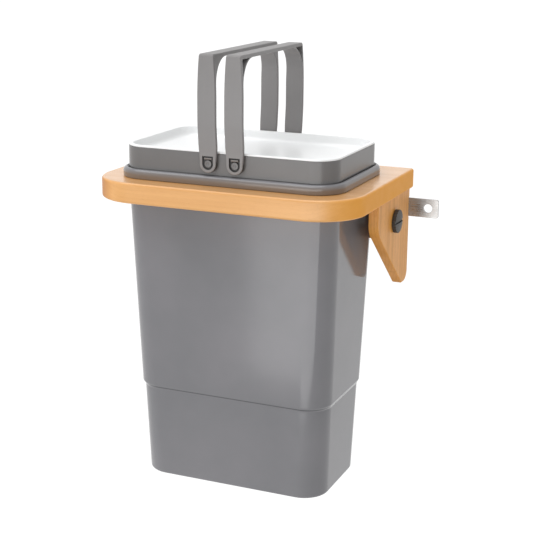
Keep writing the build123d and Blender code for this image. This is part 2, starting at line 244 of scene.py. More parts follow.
def finish_tree(tree, geometry, material):
    """Ends a geometry tree with plain geometry in its material."""
    plain = put(tree, "GeometryNodeRealizeInstances", {0: geometry}).outputs[0]
    dressed = put(tree, "GeometryNodeSetMaterial", {"Geometry": plain, "Material": material}).outputs[0]
    put(tree, "NodeGroupOutput", {0: dressed})
    return tree


def rolled_grid(tree, profile, columns):
    """Grid with a row for each profile point, and the column and profile place of each of its points."""
    size = put(tree, "GeometryNodeAttributeDomainSize", {0: profile}, component="MESH")
    rows = size.outputs["Point Count"]
    grid = put(tree, "GeometryNodeMeshGrid", {"Vertices X": columns, "Vertices Y": rows}).outputs["Mesh"]
    index = put(tree, "GeometryNodeInputIndex").outputs[0]
    column = calc(tree, "FLOOR", calc(tree, "DIVIDE", index, rows))
    row = calc(tree, "SUBTRACT", index, calc(tree, "MULTIPLY", column, rows))
    position = put(tree, "GeometryNodeInputPosition").outputs[0]
    spot = put(
        tree, "GeometryNodeSampleIndex", {"Geometry": profile, "Value": position, "Index": row},
        data_type="FLOAT_VECTOR", domain="POINT",
    )
    return grid, column, row, split_xyz(tree, out(spot))


def settled_grid(tree, grid, position):
    """Moves a grid's points to their places and closes its seam and poles."""
    moved = put(tree, "GeometryNodeSetPosition", {"Geometry": grid, "Position": position}).outputs[0]
    return put(tree, "GeometryNodeMergeByDistance", {"Geometry": moved, "Distance": weld}).outputs[0]


def stacked_rings():
    """Skin over rounded rectangles: each profile point is a half width, a half depth and a height."""
    tree, given = shape_tree(
        "Stacked rings", {"Corner Steps": "NodeSocketInt", "Axis Y": "NodeSocketFloat"}
    )
    arc = calc(tree, "ADD", given["Corner Steps"], 1.0)
    columns = calc(tree, "ADD", calc(tree, "MULTIPLY", arc, 4.0), 1.0)
    grid, column, row, half = rolled_grid(tree, given["Geometry"], columns)
    corner = put(tree, "GeometryNodeInputNamedAttribute", {"Name": "corner"}, data_type="FLOAT")
    sources = {"Geometry": given["Geometry"], "Value": out(corner), "Index": row}
    radius = out(put(tree, "GeometryNodeSampleIndex", sources, data_type="FLOAT", domain="POINT"))
    quarter = calc(tree, "FLOOR", calc(tree, "DIVIDE", column, arc))
    step = calc(tree, "SUBTRACT", column, calc(tree, "MULTIPLY", quarter, arc))
    share = calc(tree, "ADD", quarter, calc(tree, "DIVIDE", step, given["Corner Steps"]))
    turn = calc(tree, "MULTIPLY", share, math.pi / 2)
    middle = calc(tree, "MULTIPLY", calc(tree, "ADD", quarter, 0.5), math.pi / 2)
    places = []
    for function, side in (("COSINE", half[0]), ("SINE", half[1])):
        sign = calc(tree, "SIGN", calc(tree, function, middle))
        centre = calc(tree, "MULTIPLY", sign, calc(tree, "SUBTRACT", side, radius))
        reach = calc(tree, "MULTIPLY", radius, calc(tree, function, turn))
        places.append(calc(tree, "ADD", centre, reach))
    position = join_xyz(tree, places[0], calc(tree, "ADD", places[1], given["Axis Y"]), half[2])
    return finish_tree(tree, settled_grid(tree, grid, position), given["Material"])


def turned_with_flutes():
    """Solid of revolution about Z, each profile point a radius and a height, with round flutes."""
    tree, given = shape_tree(
        "Turned with flutes",
        {
            "Steps": "NodeSocketInt",
            "Flutes": "NodeSocketInt",
            "Flute Radius": "NodeSocketFloat",
            "Flute Centre": "NodeSocketFloat",
            "Softness": "NodeSocketFloat",
        },
    )
    columns = calc(tree, "ADD", given["Steps"], 1.0)
    grid, column, _, spot = rolled_grid(tree, given["Geometry"], columns)
    turn = calc(tree, "MULTIPLY", calc(tree, "DIVIDE", column, given["Steps"]), 2 * math.pi)
    pitch = calc(tree, "DIVIDE", 2 * math.pi, given["Flutes"])
    nearest = calc(tree, "MULTIPLY", calc(tree, "ROUND", calc(tree, "DIVIDE", turn, pitch)), pitch)
    apart = calc(tree, "SUBTRACT", turn, nearest)
    along = calc(tree, "MULTIPLY", given["Flute Centre"], calc(tree, "COSINE", apart))
    across = calc(tree, "MULTIPLY", given["Flute Centre"], calc(tree, "SINE", apart))
    reach = calc(tree, "POWER", given["Flute Radius"], 2.0)
    left = calc(tree, "SUBTRACT", reach, calc(tree, "MULTIPLY", across, across))
    flute = calc(tree, "SUBTRACT", along, calc(tree, "SQRT", calc(tree, "MAXIMUM", left, 0.0)))
    radius = calc(tree, "SMOOTH_MIN", spot[0], flute, given["Softness"])
    radius = calc(tree, "MINIMUM", radius, spot[0])
    position = join_xyz(
        tree,
        calc(tree, "MULTIPLY", radius, calc(tree, "COSINE", turn)),
        calc(tree, "MULTIPLY", radius, calc(tree, "SINE", turn)),
        spot[2],
    )
    return finish_tree(tree, settled_grid(tree, grid, position), given["Material"])


def slotted_top():
    """Cuts a straight slot along X in the top of a solid."""
    tree, given = shape_tree(
        "Slotted top",
        {
            "Length": "NodeSocketFloat",
            "Width": "NodeSocketFloat",
            "Depth": "NodeSocketFloat",
            "Top": "NodeSocketFloat",
        },
    )
    size = join_xyz(tree, given["Length"], given["Width"], calc(tree, "MULTIPLY", given["Depth"], 2.0))
    bar = put(tree, "GeometryNodeMeshCube", {"Size": size}).outputs["Mesh"]
    place = join_xyz(tree, 0.0, 0.0, given["Top"])
    raised = put(tree, "GeometryNodeTransform", {"Geometry": bar, "Translation": place}).outputs[0]
    cut = put(
        tree, "GeometryNodeMeshBoolean", {"Mesh 1": given["Geometry"], "Mesh 2": raised},
        operation="DIFFERENCE", solver="EXACT",
    )
    return finish_tree(tree, cut.outputs["Mesh"], given["Material"])


# Mesh pieces

def new_piece(name, mesh):
    """Links a mesh to the scene as an object of its own."""
    piece = bpy.data.objects.new(name, mesh)
    bpy.context.scene.collection.objects.link(piece)
    return piece


def mesh_from(name, bm):
    """Turns a finished bmesh into a mesh."""
    mesh = bpy.data.meshes.new(name)
    bm.to_mesh(mesh)
    bm.free()
    return mesh


def settle(piece):
    """Gives a piece the mesh that its modifiers make and takes the modifiers off."""
    depsgraph = bpy.context.evaluated_depsgraph_get()
    made = bpy.data.meshes.new_from_object(
        piece.evaluated_get(depsgraph), preserve_all_data_layers=True, depsgraph=depsgraph
    )
    piece.modifiers.clear()
    piece.data = made


def grow(piece, tree, material, inputs):
    """Runs a shape tree on a piece, keeps the result as its plain mesh and turns its faces outwards."""
    modifier = piece.modifiers.new(tree.name, "NODES")
    modifier.node_group = tree
    given = {**inputs, "Material": material}
    for socket in tree.interface.items_tree:
        if socket.in_out == "INPUT" and socket.name in given:
            modifier[socket.identifier] = given[socket.name]
    settle(piece)
    bm = bmesh.new()
    bm.from_mesh(piece.data)
    bmesh.ops.recalc_face_normals(bm, faces=bm.faces)
    piece.data = mesh_from(piece.name, bm)


def profile_piece(name, points, corners=None):
    """Piece that holds only the points of a profile, and a corner radius for each if they have one."""
    mesh = bpy.data.meshes.new(name)
    mesh.from_pydata(points, [], [])
    if corners:
        mesh.attributes.new("corner", "FLOAT", "POINT").data.foreach_set("value", corners)
    return new_piece(name, mesh)


def smooth(piece, bevel=0.0):
    """Breaks a piece's sharp edges by a small bevel and shades flats flat and rounds round."""
    if bevel:
        edges = piece.modifiers.new("Broken edges", "BEVEL")
        edges.width = bevel
        edges.segments = bevel_segments
        edges.limit_method = "ANGLE"
        edges.angle_limit = sharp_angle
        edges.use_clamp_overlap = True
        settle(piece)
    piece.data.shade_smooth()
    piece.data.set_sharp_from_angle(angle=sharp_angle)
    normals = piece.modifiers.new("Flat faces", "WEIGHTED_NORMAL")
    normals.keep_sharp = True
    settle(piece)


def dress(piece, body, slot, material, *nodes):
    """Gives a piece its material and its body, and lets it stand for CAD nodes."""
    piece.data.materials.clear()
    piece.data.materials.append(material)
    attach(piece, body)
    if nodes:
        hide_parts(*nodes)
    return piece


def from_node(node, bevel=0.0):
    """Copy of a CAD node with merged corners, whole flats and smooth rounds."""
    bm = bmesh.new()
    bm.from_mesh(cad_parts[node].data)
    bmesh.ops.remove_doubles(bm, verts=bm.verts, dist=packed_weld)
    bmesh.ops.dissolve_limit(bm, angle_limit=flat_angle, verts=bm.verts, edges=bm.edges)
    piece = new_piece(node + "_finished", mesh_from(node, bm))
    smooth(piece, bevel)
    return piece


def rounded_line(corners):
    """Points of a line through corners of offset, height and radius, with each corner rounded."""
    points = [Vector(corners[0][:2])]
    for before, (offset, height, radius), after in zip(corners, corners[1:], corners[2:]):
        corner = Vector((offset, height))
        come = (corner - Vector(before[:2])).normalized()
        leave = (Vector(after[:2]) - corner).normalized()
        turn = come.angle_signed(leave)
        if radius <= 0 or abs(turn) < least_turn:
            points.append(corner)
            continue
        reach = radius * math.tan(abs(turn) / 2)
        start = corner - come * reach
        side = Vector((-come.y, come.x)) * (-1 if turn > 0 else 1)
        centre = start + side * radius
        steps = max(least_arc_steps, math.ceil(abs(turn) / arc_step))
        points.append(start - come * support_gap)
        for step in range(steps + 1):
            swing = Matrix.Rotation(-turn * step / steps, 2)
            points.append(centre + swing @ (start - centre))
        points.append(corner + leave * (reach + support_gap))
    points.append(Vector(corners[-1][:2]))
    return points


rings_tree = stacked_rings()
turned_tree = turned_with_flutes()
slot_tree = slotted_top()


def rounded_skin(name, material, corners, eased):
    """Closed skin for corners of offset from the bin's outline, height and radius.

    The corner radius follows the offset, and eased gives what is added to it at a height.
    """
    line = rounded_line(corners)
    points = [(bin_half_x + offset, bin_half_y + offset, z) for offset, z in line]
    radii = [max(least_corner_radius, bin_corner_radius + offset + eased(z)) for offset, z in line]
    points = [(0, 0, line[0].y), *points, (0, 0, line[-1].y)]
    piece = profile_piece(name, points, [0.0, *radii, 0.0])
    grow(piece, rings_tree, material, {"Corner Steps": corner_steps, "Axis Y": axis_y})
    return piece


def seated(piece, base, direction):
    """Moves a piece made about Z to a base, so that it points in a direction."""
    across = Vector((0, 1, 0)) if abs(direction.x) > 0.5 else Vector((1, 0, 0))
    axes = Matrix((across, direction.cross(across), direction)).transposed()
    piece.data.transform(Matrix.Translation(base) @ axes.to_4x4())
    return piece


# Shader trees

def blend_colour(tree, factor, first, second):
    """Adds a colour Mix node and gives its result."""
    return out(put(tree, "ShaderNodeMix", {"Factor": factor, "A": first, "B": second}, data_type="RGBA"))


def spread(tree, value, low, high, to_low=0.0, to_high=1.0):
    """Adds a Map Range node from one span to another and gives its result."""
    inputs = {0: value, 1: low, 2: high, 3: to_low, 4: to_high}
    return put(tree, "ShaderNodeMapRange", inputs, clamp=True).outputs[0]


def noise(tree, vector, scale, detail):
    """Adds a Noise Texture node and gives its value."""
    inputs = {"Vector": vector, "Scale": scale, "Detail": detail}
    return put(tree, "ShaderNodeTexNoise", inputs).outputs["Fac"]


def stretched(tree, vector, sizes):
    """Divides each axis of a place by a size, so that a pattern is as long as that size there."""
    split = split_xyz(tree, vector)
    return join_xyz(tree, *(calc(tree, "DIVIDE", part, size) for part, size in zip(split, sizes)))


def effect_group(name, inputs, outputs):
    """Makes an empty shader group with named inputs and outputs."""
    tree = bpy.data.node_groups.new(name, "ShaderNodeTree")
    for socket, (kind, value) in inputs.items():
        made = tree.interface.new_socket(socket, in_out="INPUT", socket_type=kind)
        if value is not None:
            made.default_value = value
    for socket in outputs:
        tree.interface.new_socket(socket, in_out="OUTPUT", socket_type="NodeSocketFloat")
    return tree, put(tree, "NodeGroupInput").outputs, put(tree, "NodeGroupOutput")


def board_grain():
    """Grain of planed beech along X: growth rings, short dark flecks, slow tone and end grain."""
    tree, given, result = effect_group(
        "Beech grain",
        {
            "Position": ("NodeSocketVector", None),
            "Normal": ("NodeSocketVector", None),
            "Ring Spacing": ("NodeSocketFloat", 0.0032),
            "Ring Wander": ("NodeSocketFloat", 0.0045),
            "Fleck Length": ("NodeSocketFloat", 0.0050),
            "Fleck Width": ("NodeSocketFloat", 0.0006),
            "Tone Length": ("NodeSocketFloat", 0.160),
            "Tone Width": ("NodeSocketFloat", 0.012),
        },
        ("Rings", "Flecks", "Tone", "Ends"),
    )
    position = given["Position"]
    wander = noise(tree, stretched(tree, position, ring_wander_size), 1.0, 3.0)
    drift = calc(tree, "MULTIPLY", calc(tree, "SUBTRACT", wander, 0.5), given["Ring Wander"])
    flattened = {0: position, 1: (ring_slant, 1, 1)}
    across = put(tree, "ShaderNodeVectorMath", flattened, operation="MULTIPLY").outputs[0]
    distance = put(tree, "ShaderNodeVectorMath", {0: across}, operation="LENGTH").outputs["Value"]
    count = calc(tree, "DIVIDE", calc(tree, "ADD", distance, drift), given["Ring Spacing"])
    late_wood = calc(tree, "POWER", calc(tree, "FRACT", count), 3.0)
    place_in(result, "Rings", late_wood)

    fleck_size = (given["Fleck Length"], given["Fleck Width"], given["Fleck Width"])
    flecks = noise(tree, stretched(tree, position, fleck_size), 1.0, 1.0)
    place_in(result, "Flecks", spread(tree, flecks, 0.56, 0.74))

    tone_size = (given["Tone Length"], given["Tone Width"], given["Tone Width"])
    tone = noise(tree, stretched(tree, position, tone_size), 1.0, 5.0)
    place_in(result, "Tone", spread(tree, tone, 0.28, 0.72))

    facing = calc(tree, "ABSOLUTE", split_xyz(tree, given["Normal"])[0])
    place_in(result, "Ends", spread(tree, facing, 0.35, 0.95))
    return tree


def moulded_skin():
    """Skin of moulded plastic: fine orange peel, slow clouding, and a haze of light handling."""
    tree, given, result = effect_group(
        "Moulded skin",
        {
            "Position": ("NodeSocketVector", None),
            "Peel Size": ("NodeSocketFloat", 0.0008),
            "Cloud Size": ("NodeSocketFloat", 0.070),
            "Haze Size": ("NodeSocketFloat", 0.020),
        },
        ("Peel", "Cloud", "Haze"),
    )
    layers = (("Peel", 1.0, 0.2, 0.8), ("Cloud", 3.0, 0.3, 0.7), ("Haze", 4.0, 0.4, 0.75))
    for name, detail, low, high in layers:
        scale = calc(tree, "DIVIDE", 1.0, given[name + " Size"])
        place_in(result, name, spread(tree, noise(tree, given["Position"], scale, detail), low, high))
    return tree


def drawn_steel():
    """Steel drawn through rolls along X: fine long lines and faint dull patches."""
    tree, given, result = effect_group(
        "Drawn steel",
        {
            "Position": ("NodeSocketVector", None),
            "Line Width": ("NodeSocketFloat", 0.0004),
            "Line Length": ("NodeSocketFloat", 0.05),
            "Patch Size": ("NodeSocketFloat", 0.011),
        },
        ("Lines", "Dull"),
    )
    line_size = (given["Line Length"], given["Line Width"], given["Line Width"])
    lines = noise(tree, stretched(tree, given["Position"], line_size), 1.0, 2.0)
    place_in(result, "Lines", spread(tree, lines, 0.3, 0.7))
    dull = noise(tree, given["Position"], calc(tree, "DIVIDE", 1.0, given["Patch Size"]), 4.0)
    place_in(result, "Dull", spread(tree, dull, 0.35, 0.7))
    return tree


beech_grain = board_grain()
plastic_skin = moulded_skin()
steel_lines = drawn_steel()

# Turns that lay the pattern's X along a piece
level = (0, 0, 0)
upright = (0, math.radians(90), 0)
across_board = (0, 0, math.radians(90))


def surface(name):
    """Empty material with its shader and the object's own position and normal."""
    material = bpy.data.materials.new(name)
    material.use_nodes = True
    tree = material.node_tree
    tree.nodes.clear()
    shader = put(tree, "ShaderNodeBsdfPrincipled")
    put(tree, "ShaderNodeOutputMaterial", {"Surface": shader.outputs[0]})
    place = put(tree, "ShaderNodeTexCoord").outputs
    return material, tree, shader, place["Object"], place["Normal"]


def use_group(tree, shared, inputs):
    """Adds a shared group to a material and gives its outputs."""
    return put(tree, "ShaderNodeGroup", inputs, node_tree=shared).outputs


def bumped(tree, shader, height, depth):
    """Gives a shader a fine relief."""
    bump = put(tree, "ShaderNodeBump", {"Height": height, "Distance": depth, "Strength": 1.0})
    place_in(shader, "Normal", bump.outputs[0])


def step_shade(tree, position):
    """Mask of the dark line round the bin, where its step lies in its own shade."""
    away = calc(tree, "ABSOLUTE", calc(tree, "SUBTRACT", split_xyz(tree, position)[2], step_line))
    return spread(tree, away, 0.0, step_line_half_width, 1.0, 0.0)


def window_shade(tree, position):
    """Mask of painted shade on the floor of the windows round the bails' eyes, where the recesses lie in
    shade.
    """
    place = split_xyz(tree, position)
    along = calc(tree, "SUBTRACT", calc(tree, "ABSOLUTE", place[0]), pivot_spacing / 2)
    above = calc(tree, "SUBTRACT", place[2], shelf_top + pivot_above_shelf_top)
    away = put(tree, "ShaderNodeVectorMath", {0: join_xyz(tree, along, above, 0.0)}, operation="LENGTH")
    near = spread(tree, away.outputs["Value"], window_fade * window_reach, window_reach, 1.0, 0.0)
    out_from_middle = calc(tree, "ABSOLUTE", calc(tree, "SUBTRACT", place[1], axis_y))
    shade_start = window_shade_end - window_shade_fade
    sunk = spread(tree, out_from_middle, shade_start, window_shade_end, 1.0, 0.0)
    return calc(tree, "MULTIPLY", near, sunk)


def rim_painted_reflection(tree, position):
    """Mask of the lower half of the bin's rim, where a warm reflection of the wood under it is painted into
    the colour.
    """
    height = split_xyz(tree, position)[2]
    above_shelf = spread(tree, height, shelf_top - rim_painted_reflection_fade, shelf_top)
    full_height = bin_high.z - rim_painted_reflection_full_drop
    below_crown = spread(tree, height, full_height, bin_high.z - rim_painted_reflection_end_drop, 1.0, 0.0)
    return calc(tree, "MULTIPLY", above_shelf, below_crown)


def tinted(colour, tint):
    """Colour with each of its parts multiplied by a tint."""
    return (*(part * share for part, share in zip(colour, tint)), 1)


def plastic(name, dark, light, roughness, specular=0.5, peel_depth=0.000001, painted_light=()):
    """Moulded plastic between two close tones, with painted light and shade over them, each a mask and a
    colour.
    """
    material, tree, shader, position, _ = surface(name)
    skin = use_group(tree, plastic_skin, {"Position": position})
    colour = blend_colour(tree, skin["Cloud"], (*dark, 1), (*light, 1))
    for mask, tint in painted_light:
        colour = blend_colour(tree, mask(tree, position), colour, (*tint, 1))
    place_in(shader, "Base Color", colour)
    haze = spread(tree, skin["Haze"], 0, 1, roughness, roughness + haze_roughness)
    place_in(shader, "Roughness", haze)
    bumped(tree, shader, skin["Peel"], peel_depth)
    shader.inputs["Specular IOR Level"].default_value = specular
    return material


def beech(name, turn, pith, dark, light, figure=0.3, ends=0.8, coat=0.0, specular=0.2, glue_line=None):
    """Lacquered beech whose grain runs along X after a turn, with its pith at a place.

    Figure says how strongly grain shows, ends how strongly end wood and the painted shade on faces turned
    to the left show, and coat how much lacquer lies on top.
    A glue line is given by its place along Y, its half width and its strength.
    """
    material, tree, shader, position, normal = surface(name)
    board = put(tree, "ShaderNodeMapping", {0: position, "Location": pith, "Rotation": turn}).outputs[0]
    turned = {0: normal, "Rotation": turn}
    facing = put(tree, "ShaderNodeMapping", turned, vector_type="NORMAL").outputs[0]
    grain = use_group(tree, beech_grain, {"Position": board, "Normal": facing})
    colour = blend_colour(tree, grain["Tone"], (*dark, 1), (*light, 1))
    parts = (("Rings", figure, ring_tint), ("Flecks", figure, fleck_tint), ("Ends", ends, end_tint))
    for part, strength, tint in parts:
        mask = calc(tree, "MULTIPLY", grain[part], strength)
        colour = blend_colour(tree, mask, colour, tinted(dark, tint))
    # Painted shade: faces turned towards -X are darkened to the fleck tone, as strongly as the ends show
    left_shade = spread(tree, split_xyz(tree, facing)[0], *left_shade_facing, ends, 0.0)
    colour = blend_colour(tree, left_shade, colour, tinted(dark, fleck_tint))
    if glue_line:
        side, half_width, strength = glue_line
        gap = calc(tree, "ABSOLUTE", calc(tree, "SUBTRACT", split_xyz(tree, position)[1], side))
        line = spread(tree, gap, 0.0, half_width, strength, 0.0)
        colour = blend_colour(tree, line, colour, tinted(dark, fleck_tint))
    place_in(shader, "Base Color", colour)

    face = spread(tree, grain["Tone"], 0, 1, *face_roughness)
    rougher = calc(tree, "MULTIPLY", grain["Ends"], end_roughness)
    place_in(shader, "Roughness", calc(tree, "ADD", face, rougher))
    lacquer = spread(tree, split_xyz(tree, normal)[2], 0.5, 1.0, side_coat_share * coat, coat)
    lacquer = calc(tree, "MULTIPLY", lacquer, calc(tree, "SUBTRACT", 1.0, grain["Ends"]))
    place_in(shader, "Coat Weight", lacquer)
    shader.inputs["Coat Roughness"].default_value = coat_roughness
    shader.inputs["Specular IOR Level"].default_value = specular
    bumped(tree, shader, calc(tree, "SUBTRACT", 1.0, grain["Flecks"]), fleck_depth)
    return material


def steel(name, turn):
    """Brushed zinc-plated steel with its lines along X after a turn."""
    material, tree, shader, position, _ = surface(name)
    place = put(tree, "ShaderNodeMapping", {0: position, "Rotation": turn}).outputs[0]
    drawn = use_group(tree, steel_lines, {"Position": place})
    place_in(shader, "Base Color", blend_colour(tree, drawn["Lines"], (*steel_dark, 1), (*steel_light, 1)))
    polish = spread(tree, drawn["Lines"], 0, 1, *steel_roughness)
    duller = calc(tree, "MULTIPLY", drawn["Dull"], dull_roughness)
    place_in(shader, "Roughness", calc(tree, "ADD", polish, duller))
    bumped(tree, shader, drawn["Lines"], steel_line_depth)
    shader.inputs["Metallic"].default_value = 1.0
    return material


# The bin's colour has a painted warm reflection of the wood on its rim and a line of painted shade under
# its step
bin_plastic = plastic(
    "Bin plastic", dark=(0.172, 0.172, 0.182), light=(0.200, 0.196, 0.208), roughness=0.10, specular=0.45,
    painted_light=((rim_painted_reflection, (0.196, 0.160, 0.130)), (step_shade, (0.05, 0.05, 0.055))),
)
pail_plastic = plastic(
    "Pail plastic", dark=(0.150, 0.147, 0.147), light=(0.166, 0.163, 0.163), roughness=0.20, specular=0.32
)
# The bails' colour has painted shade on the floor of the windows round their eyes
bail_plastic = plastic(
    "Bail plastic", dark=(0.222, 0.214, 0.213), light=(0.244, 0.236, 0.235), roughness=0.42, specular=0.30,
    painted_light=((window_shade, (0.045, 0.043, 0.042)),),
)
lid_plastic = plastic(
    "Lid plastic", dark=(0.90, 0.91, 0.915), light=(0.92, 0.93, 0.93), roughness=0.30, peel_depth=0.0000004
)
knob_plastic = plastic(
    "Knob plastic", dark=(0.026, 0.021, 0.016), light=(0.040, 0.034, 0.027), roughness=0.50,
    peel_depth=0.00002,
)
shelf_wood = beech(
    "Shelf beech", level, pith=(0.03, 0.13, 0.05), dark=(0.68, 0.345, 0.112), light=(0.78, 0.420, 0.158),
    figure=0.14, coat=1.0, specular=0.30,
)
corbel_wood = beech(
    "Corbel beech", upright, pith=(0.1, 0.09, -0.02), dark=(0.70, 0.318, 0.066), light=(0.84, 0.405, 0.106),
    figure=0.45, ends=0.25, glue_line=(-0.035, 0.0005, 0.5),
)
rail_wood = beech(
    "Rail beech", level, pith=(0.2, 0.05, 0.08), dark=(0.72, 0.345, 0.105), light=(0.84, 0.430, 0.150)
)
dowel_wood = beech(
    "Dowel birch", upright, pith=(0, 0, 0.02), dark=(0.66, 0.46, 0.26), light=(0.76, 0.58, 0.37)
)
arm_steel = steel("Bracket steel", level)
screw_steel = steel("Stud steel", across_board)


# Bin, pail and lid

def bin_draft(z):
    """How far the bin's outer wall is drawn in at a height."""
    below_step = (shelf_top - bin_step_below_shelf_top - z) / bin_step_height
    inset = bin_step_inset * min(1.0, max(0.0, below_step))
    return bin_slope * (shelf_top - z) + inset


def bin_corner_ease(z):
    """How much wider the bin's corners are at a height than its outline's offset makes them."""
    return bin_corner_growth * bin_draft(z)


def make_bin():
    """Outer bin with its stepped foot, rolled rim and the groove inside the rim."""
    foot, rim_top = bin_low.z, bin_high.z
    floor_top = foot + bin_floor
    step_top = shelf_top - bin_step_below_shelf_top
    step_foot = step_top - bin_step_height
    corners = [
        (-bin_draft(foot) - floor_ring, foot, 0),
        (-bin_draft(foot), foot, bin_foot_round),
        (-bin_draft(step_foot), step_foot, bin_step_crease_round),
        (-bin_draft(step_top), step_top, bin_step_shoulder_round),
        (0, shelf_top, 0),
        (rim_overhang, shelf_top, rim_foot_round),
        (rim_overhang, rim_top, rim_crown_round),
        (0, rim_top, rim_inner_round),
        (0, groove_floor, 0),
        (-bin_wall - bin_draft(groove_floor), groove_floor, 0),
        (-bin_wall - bin_draft(step_top), step_top, bin_step_shoulder_round),
        (-bin_wall - bin_draft(step_foot), step_foot, bin_step_crease_round),
        (-bin_wall - bin_draft(floor_top), floor_top, bin_floor_round),
        (-bin_wall - bin_draft(floor_top) - floor_ring, floor_top, 0),
    ]
    piece = rounded_skin("outer_bin_finished", bin_plastic, corners, bin_corner_ease)
    smooth(piece)
    return dress(piece, "bin", "grey_plastic", bin_plastic, "outer_bin")


def pail_draft(z):
    """How far the pail's body is drawn in at a height, from where it meets the collar."""
    return pail_slope * (collar_foot - z)


def pail_corner_ease(z):
    """How much wider the pail's corners are at a height than its outline's offset makes them."""
    return max(0.0, pail_draft(z))


def stud_profile():
    """Outline of a headed stud from its root in the pail's wall to its dimpled tip."""
    head = stud_head_stand_off
    tip = head + stud_head_thickness
    edge = stud_head_thickness / 4
    dimple = tip - 1.2 * edge
    rim = stud_head_radius
    return [
        (0, -pail_wall / 2), (journal_radius, -pail_wall / 2),
        (journal_radius, head - support_gap), (journal_radius, head),
        (rim - edge / 4, head), (rim, head + edge / 4),
        (rim, tip - edge), (rim - 0.3 * edge, tip - 0.3 * edge), (rim - edge, tip),
        (0.4 * rim, tip), (0.3 * rim, tip - edge), (0.1 * rim, dimple), (0, dimple),
    ]


def turned_piece(name, material, profile, steps, flutes=4, radius=0.0, centre=1.0, softness=0.0):
    """Turned solid of a profile of radius and height; flutes far outside the profile leave it plain."""
    piece = profile_piece(name, [(across, 0, height) for across, height in profile])
    inputs = {
        "Steps": steps,
        "Flutes": flutes,
        "Flute Radius": radius,
        "Flute Centre": centre,
        "Softness": softness,
    }
    grow(piece, turned_tree, material, inputs)
    return piece


def make_pail():
    """Lift-out pail with four headed studs on its collar."""
    foot, lip = pail_low.z, pail_high.z
    floor_top = foot + pail_floor
    ledge = collar_foot + pail_wall
    body = -bin_wall - pail_room
    inside = body - pail_wall
    corners = [
        (body - pail_draft(foot) - floor_ring, foot, 0),
        (body - pail_draft(foot), foot, pail_foot_round),
        (body, collar_foot, 0),
        (-collar_room, collar_foot, 0),
        (-collar_room, lip, pail_lip_round),
        (-collar_room - pail_wall, lip, pail_lip_inner_round),
        (-collar_room - pail_wall, ledge, 0),
        (inside - pail_draft(ledge), ledge, 0),
        (inside - pail_draft(floor_top), floor_top, pail_floor_round),
        (inside - pail_draft(floor_top) - floor_ring, floor_top, 0),
    ]
    piece = rounded_skin("inner_pail_finished", pail_plastic, corners, pail_corner_ease)
    bm = bmesh.new()
    bm.from_mesh(piece.data)
    wall_y = bin_half_y - collar_room
    pivot_z = shelf_top + pivot_above_shelf_top
    for side in (-1, 1):
        for across in (-1, 1):
            stud = turned_piece("stud", pail_plastic, stud_profile(), stud_steps)
            base = Vector((across * pivot_spacing / 2, axis_y + side * wall_y, pivot_z))
            bm.from_mesh(seated(stud, base, Vector((0, side, 0))).data)
            bpy.data.objects.remove(stud)
    piece.data = mesh_from("inner_pail_finished", bm)
    smooth(piece)
    return dress(piece, "pail", "grey_plastic", pail_plastic, "inner_pail")


def lid_corner_ease(z):
    """How much wider the lid's corners are at a height than its outline's offset makes them."""
    return lid_recess_inset / 2 * min(1.0, (lid_high.z - z) / lid_recess_depth)


def make_lid():
    """White lid: a flange with rounded edges round a shallow tray."""
    top = lid_high.z
    flange = -collar_room - lid_flange_setback
    tray = -collar_room - pail_wall - lid_room
    recess = tray - lid_wall
    flange_foot = top - lid_flange_thickness + lid_seat_gap
    recess_floor = top - lid_recess_depth
    corners = [
        (tray - lid_recess_inset - tray_ring, lid_low.z, 0),
        (tray - lid_recess_inset, lid_low.z, lid_recess_round + lid_wall / 2),
        (tray, flange_foot, 0),
        (flange, flange_foot, lid_flange_foot_round),
        (flange, top, lid_edge_round),
        (recess, top, lid_edge_round),
        (recess - lid_recess_inset, recess_floor, lid_recess_round),
        (recess - lid_recess_inset - tray_ring, recess_floor, 0),
    ]
    piece = rounded_skin("lid_finished", lid_plastic, corners, lid_corner_ease)
    smooth(piece)
    return dress(piece, "lid", "white_plastic", lid_plastic, "lid")


def knob_profile():
    """Outline of a clamp knob from its bore over its round foot and rim to its crowned face."""
    shoulder = knob_height - knob_crown
    corners = [
        (knob_bore_radius, 0),
        (knob_radius, 0, knob_foot_round),
        (knob_radius, shoulder, knob_rim_round),
        (0, knob_height),
    ]
    line = [point.to_tuple() for point in rounded_line(corners)]
    crown = []
    for ring in range(1, crown_rings):
        across = knob_radius * (1 - ring / crown_rings)
        crown.append((across, knob_height - knob_crown * (across / knob_radius) ** 2))
    return [(0, knob_bore_depth), (knob_bore_radius, knob_bore_depth), *line[:-1], *crown, line[-1]]


def make_knobs():
    """Black clamp knobs with a fluted rim and a slot across the face."""
    for side, direction in (("left", -1), ("right", 1)):
        node = f"clamp_knob_{side}"
        low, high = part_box(node)
        middle = (low + high) / 2
        face = low.x if direction > 0 else high.x
        piece = turned_piece(
            node + "_finished", knob_plastic, knob_profile(), flute_count * flute_steps, flute_count,
            flute_radius, knob_radius + flute_radius / 3, flute_softness,
        )
        slot = {"Length": 3 * knob_radius, "Width": slot_width, "Depth": slot_depth, "Top": knob_height}
        grow(piece, slot_tree, knob_plastic, slot)
        seated(piece, Vector((face, middle.y, middle.z)), Vector((direction, 0, 0)))
        smooth(piece)
        dress(piece, f"knob_{side}", "knob_plastic", knob_plastic, node)


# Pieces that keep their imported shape, and then the whole bin

def finish_pair(node, body, slot, material, bevel=0.0):
    """Finishes the left and right copies of a node."""
    for side in ("left", "right"):
        name = f"{node}_{side}"
        owner = f"{body}_{side}" if body else "shelf"
        dress(from_node(name, bevel), owner, slot, material, name)


